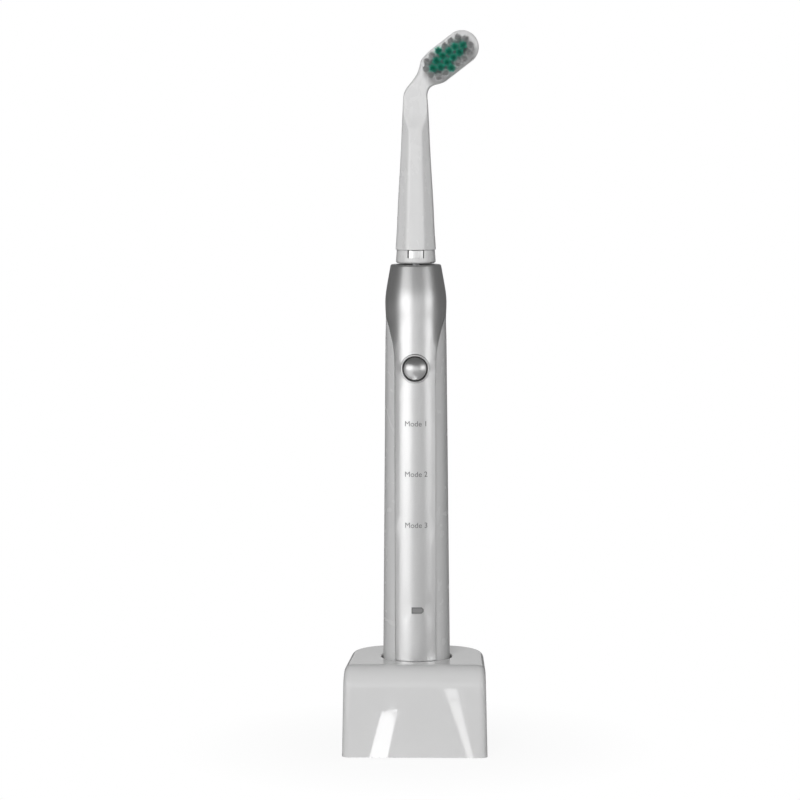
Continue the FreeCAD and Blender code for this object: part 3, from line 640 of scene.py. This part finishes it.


# Both kinds of bristle start at the same depth; the green ones reach further out
# Each kind's side colour is painted light, for light scattered through the nylon, and its tip colour painted
# shade, for the gaps between the filament ends
bristles = {
    "green": {
        "node": "green_tufts", "slot": "green_nylon", "rootY": -1.6 * mm, "tipY": -11.5 * mm, "seed": 3,
        "finish": nylonFinish("greenNylon", (0.2, 0.92, 0.75, 1), (0.001, 0.33, 0.2, 1), -11.15 * mm,
                              -10.3 * mm, 0.45)},
    "clear": {
        "node": "white_tufts", "slot": "clear_nylon", "rootY": -1.6 * mm, "tipY": -10.8 * mm, "seed": 11,
        "finish": nylonFinish("clearNylon", (0.96, 0.96, 0.96, 1), (0.9, 0.9, 0.9, 1), -10.4 * mm,
                              -9.5 * mm, 0.4)},
}
for label, spec in bristles.items():
    roots = [Vector((c.x, spec["rootY"], c.z)) for c in solidCentres(spec["node"])]
    values = {"Tuft radius": 0.95 * mm, "Filament radius": 0.089 * mm, "Spacing": 0.178 * mm,
              "Length": spec["rootY"] - spec["tipY"], "Splay": 82.0, "Stray": 0.02, "Uneven": 0.05,
              "Dome": 0.14, "Seed": spec["seed"], "Finish": spec["finish"]}
    tufts = applyTree(label + "Bristles", pointsObject(label, roots), tuftTree, values, "brush_head",
                      spec["node"])
    print(label, "bristles:", len(roots), "tufts,", len(tufts.data.polygons), "faces")


# Printed marks on the silver strip

marks = {
    "words": ["Mode 3", "Mode 2", "Mode 1"],    # from the lowest up
    "aside": 0.35 * mm,
    "height": 2.75 * mm,
    "ink": 0.03 * mm,
    "lift": 0.012 * mm,
}
inkFinish = plasticFinish("greyInk", (0.17, 0.17, 0.175, 1), (0.22, 0.22, 0.22, 1), 0.3, 0.45, 0.05, 0.3)


strip = {"foot": 12.32 * mm, "footZ": 24 * mm, "waist": 11.12 * mm, "waistZ": 150 * mm}


# Radius of the strip's surface at a height, between the foot and the waist of the shell
def stripRadius(z):
    share = (z - strip["footZ"]) / (strip["waistZ"] - strip["footZ"])
    return strip["foot"] + (strip["waist"] - strip["foot"]) * share


# Lays a flat mesh in X and Y onto the strip: Y becomes height, X goes round, Z stands off
def wrapOnStrip(mesh, centreX, centreZ, lift):
    for vertex in mesh.vertices:
        z = centreZ + vertex.co.y
        radius = stripRadius(z)
        angle = (centreX + vertex.co.x) / radius
        reach = radius + lift + vertex.co.z
        vertex.co = Vector((reach * math.sin(angle), -reach * math.cos(angle), z))


def printWord(word, name, centreZ):
    curve = bpy.data.curves.new(name, "FONT")
    curve.body = word
    curve.size = marks["height"]
    curve.align_x, curve.align_y = "CENTER", "CENTER"
    curve.extrude = marks["ink"] / 2
    curve.resolution_u = 6
    source = bpy.data.objects.new(name, curve)
    bpy.context.scene.collection.objects.link(source)
    mesh = asMesh(source)
    bpy.data.objects.remove(source)
    wrapOnStrip(mesh, marks["aside"], centreZ, marks["lift"] + marks["ink"] / 2)
    piece = linkObject(name, mesh, inkFinish, smooth=False)
    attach(piece, "handle")
    return piece


for i, (word, guide) in enumerate(zip(marks["words"], solidCentres("light_guides"))):
    printWord(word, "printedMark" + str(i + 1), guide.z)

gaugeFrame = {
    "line": 0.42 * mm,
    "thick": 0.02 * mm,
    "cut": 0.75 * mm,       # cut corners at the battery's positive end
    "sunk": 0.06 * mm,      # the window's pane lies this much under the trim
    "piece": 0.35 * mm,     # longest straight piece of the line
}


# Closed outline of a lying battery, with its edges divided so that it can follow the round strip
def gaugePoints(half, tall, cut):
    corners = [(-half, -tall), (half - cut, -tall), (half, cut - tall), (half, tall - cut),
               (half - cut, tall), (-half, tall)]
    points = []
    for start, end in zip(corners, corners[1:] + corners[:1]):
        count = max(1, math.ceil(math.dist(start, end) / gaugeFrame["piece"]))
        for k in range(count):
            points.append([a + (b - a) * k / count for a, b in zip(start, end)])
    return points


def printGaugeFrame():
    paneLow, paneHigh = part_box("gauge_window")
    half, tall = (paneHigh.x - paneLow.x) / 2, (paneHigh.z - paneLow.z) / 2
    outer = gaugePoints(half, tall, gaugeFrame["cut"])
    scaleX, scaleZ = 1 - gaugeFrame["line"] / half, 1 - gaugeFrame["line"] / tall
    inner = [(x * scaleX, z * scaleZ) for x, z in outer]
    count = len(outer)
    rings = [(outer, gaugeFrame["thick"]), (inner, gaugeFrame["thick"]), (inner, 0), (outer, 0)]
    points = [(x, z, rise) for ring, rise in rings for x, z in ring]
    faces = []
    for r in range(len(rings)):
        nextRing = (r + 1) % len(rings)
        for i in range(count):
            j = (i + 1) % count
            faces.append((r * count + i, r * count + j, nextRing * count + j, nextRing * count + i))
    mesh = bpy.data.meshes.new("gaugeFrame")
    mesh.from_pydata(points, [], faces)
    centreX, centreZ = (paneLow.x + paneHigh.x) / 2, (paneLow.z + paneHigh.z) / 2
    wrapOnStrip(mesh, centreX, centreZ, marks["lift"] - gaugeFrame["sunk"])
    build = bmesh.new()
    build.from_mesh(mesh)
    bmesh.ops.recalc_face_normals(build, faces=build.faces)
    build.to_mesh(mesh)
    build.free()
    piece = linkObject("gaugeFrame", mesh, inkFinish, smooth=False)
    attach(piece, "handle")


printGaugeFrame()
print("marks printed")


# Camera, floor and light

camera = {
    "yaw": 1.9,
    "roll": -0.14,
    "distance": 1.116,
    "height": 0.230,
    "lens": 138.2,
    "aim": (-5.88 * mm, 0, 127.77 * mm),
}
floor = {
    "half": 4.0,
    "tones": [(0.78, 0.78, 0.78, 1), (0.82, 0.82, 0.82, 1)],
    "white": (0.93, 1.0),       # how white the camera sees it, under the object and away from it
    "whiteReach": (0.03, 0.09),
}
roomStrength = 0.17
panelAim = Vector((0, 0, 0.13))


def makeCamera():
    data = bpy.data.cameras.new("camera")
    data.lens = camera["lens"]
    data.sensor_width = 36
    data.clip_start, data.clip_end = 0.01, 20
    obj = bpy.data.objects.new("camera", data)
    bpy.context.scene.collection.objects.link(obj)
    yaw = math.radians(camera["yaw"])
    reach = camera["distance"]
    obj.location = (reach * math.sin(yaw), -reach * math.cos(yaw), camera["height"])
    aim = Vector(camera["aim"]) - obj.location
    obj.rotation_mode = "QUATERNION"
    roll = Quaternion((0, 0, 1), math.radians(camera["roll"]))
    obj.rotation_quaternion = aim.to_track_quat("-Z", "Y") @ roll
    bpy.context.scene.camera = obj


def makeFloor():
    mesh = bpy.data.meshes.new("floor")
    half = floor["half"]
    corners = [(-half, -half, 0), (half, -half, 0), (half, half, 0), (-half, half, 0)]
    mesh.from_pydata(corners, [], [(0, 1, 2, 3)])
    finish = bpy.data.materials.new("paleFloor")
    finish.use_nodes = True
    tree = finish.node_tree
    shader = tree.nodes["Principled BSDF"]
    coords = addNode(tree, "ShaderNodeTexCoord").outputs["Object"]
    tone = mixColor(tree, noise(tree, coords, 3, 2), *floor["tones"])
    tree.links.new(tone, shader.inputs["Base Color"])
    shader.inputs["Roughness"].default_value = 0.6
    shader.inputs["Specular IOR Level"].default_value = 0.0
    glow = addNode(tree, "ShaderNodeEmission", {"Color": (1, 1, 1, 1), "Strength": 1.0})
    seen = addNode(tree, "ShaderNodeLightPath").outputs["Is Camera Ray"]
    away = addNode(tree, "ShaderNodeVectorMath", {0: coords}, operation="LENGTH").outputs["Value"]
    share = mathNode(tree, "MULTIPLY", seen, remap(tree, away, *floor["whiteReach"], *floor["white"]))
    both = addNode(tree, "ShaderNodeMixShader", {0: share, 1: shader.outputs[0], 2: glow.outputs[0]})
    tree.links.new(both.outputs[0], tree.nodes["Material Output"].inputs["Surface"])
    ground = linkObject("floor", mesh, finish, smooth=False)


def makeWorld():
    world = bpy.data.worlds.new("studio")
    bpy.context.scene.world = world
    world.use_nodes = True
    tree = world.node_tree
    tree.nodes.clear()
    seen = addNode(tree, "ShaderNodeLightPath").outputs["Is Camera Ray"]
    room = addNode(tree, "ShaderNodeBackground", {"Color": (1, 1, 1, 1), "Strength": roomStrength})
    sweep = addNode(tree, "ShaderNodeBackground", {"Color": (1, 1, 1, 1), "Strength": 1.0})
    both = addNode(tree, "ShaderNodeMixShader", {0: seen, 1: room.outputs[0], 2: sweep.outputs[0]})
    out = tree.nodes.new("ShaderNodeOutputWorld")
    tree.links.new(both.outputs[0], out.inputs["Surface"])


# Azimuth 0 is in front of the object and 90 on its +X side; bright is the panel's radiance
softPanels = [
    {"name": "key", "azimuth": -8, "distance": 1.35, "height": 0.74, "wide": 0.6, "tall": 0.5,
     "bright": 13.8, "seenBy": "diffuse"},
    {"name": "backPanel", "azimuth": 180, "distance": 1.2, "height": 0.25, "wide": 0.5, "tall": 0.36,
     "bright": 0.5, "seenBy": "glossy"},
    {"name": "leftPanel", "azimuth": -38, "distance": 0.95, "height": 0.05, "wide": 0.8, "tall": 0.74,
     "bright": 2.15, "seenBy": "glossy"},
    {"name": "rightPanel", "azimuth": 51, "distance": 0.95, "height": 0.05, "wide": 0.5, "tall": 0.74,
     "bright": 1.85, "seenBy": "glossy"},
    {"name": "frontPanel", "azimuth": 8, "distance": 1.25, "height": 0.06, "wide": 1.0, "tall": 0.85,
     "bright": 0.75, "seenBy": "glossy"},
]


def makePanels():
    for panel in softPanels:
        data = bpy.data.lights.new(panel["name"], "AREA")
        data.shape = "RECTANGLE"
        data.size, data.size_y = panel["wide"], panel["tall"]
        data.energy = panel["bright"] * math.pi * panel["wide"] * panel["tall"]
        obj = bpy.data.objects.new(panel["name"], data)
        bpy.context.scene.collection.objects.link(obj)
        azimuth = math.radians(panel["azimuth"])
        reach = panel["distance"]
        obj.location = (reach * math.sin(azimuth), -reach * math.cos(azimuth), panel["height"])
        toward = panelAim - obj.location
        obj.rotation_mode = "QUATERNION"
        obj.rotation_quaternion = toward.to_track_quat("-Z", "Y")
        obj.visible_camera = False
        obj.visible_diffuse = panel["seenBy"] == "diffuse"
        obj.visible_glossy = panel["seenBy"] == "glossy"


# Bright cards that lie on the table: two narrow ones in front of the base, which show as streaks in its
# gloss, and a wide one that carries the left panel on down the handle; the ends are (x, y) pairs in mm
sheenCards = [
    {"name": "leftStreak", "near": [(-16.4, -26), (-9.8, -26)], "far": [(-15.8, -112), (-9.8, -118)],
     "bright": 7.6},
    {"name": "rightStreak", "near": [(19.3, -26), (21.3, -26)], "far": [(7.3, -165), (12.3, -165)],
     "bright": 4.6},
    {"name": "leftCard", "near": [(-104, -60), (-41, -113)], "far": [(-520, -300), (-205, -565)],
     "bright": 1.1},
]


def makeSheenCards():
    for card in sheenCards:
        corners = [card["near"][0], card["far"][0], card["far"][1], card["near"][1]]
        mesh = bpy.data.meshes.new(card["name"])
        mesh.from_pydata([(x * mm, y * mm, 0.2 * mm) for x, y in corners], [], [(0, 1, 2, 3)])
        finish = bpy.data.materials.new(card["name"])
        finish.use_nodes = True
        tree = finish.node_tree
        glow = addNode(tree, "ShaderNodeEmission", {"Color": (1, 1, 1, 1), "Strength": card["bright"]})
        tree.links.new(glow.outputs[0], tree.nodes["Material Output"].inputs["Surface"])
        obj = linkObject(card["name"], mesh, finish, smooth=False)
        obj.visible_camera = False
        obj.visible_diffuse = False
        obj.visible_shadow = False


makeCamera()
makeFloor()
makeSheenCards()
makeWorld()
makePanels()
bpy.context.scene.view_settings.view_transform = "Standard"
print("camera, floor and light set")
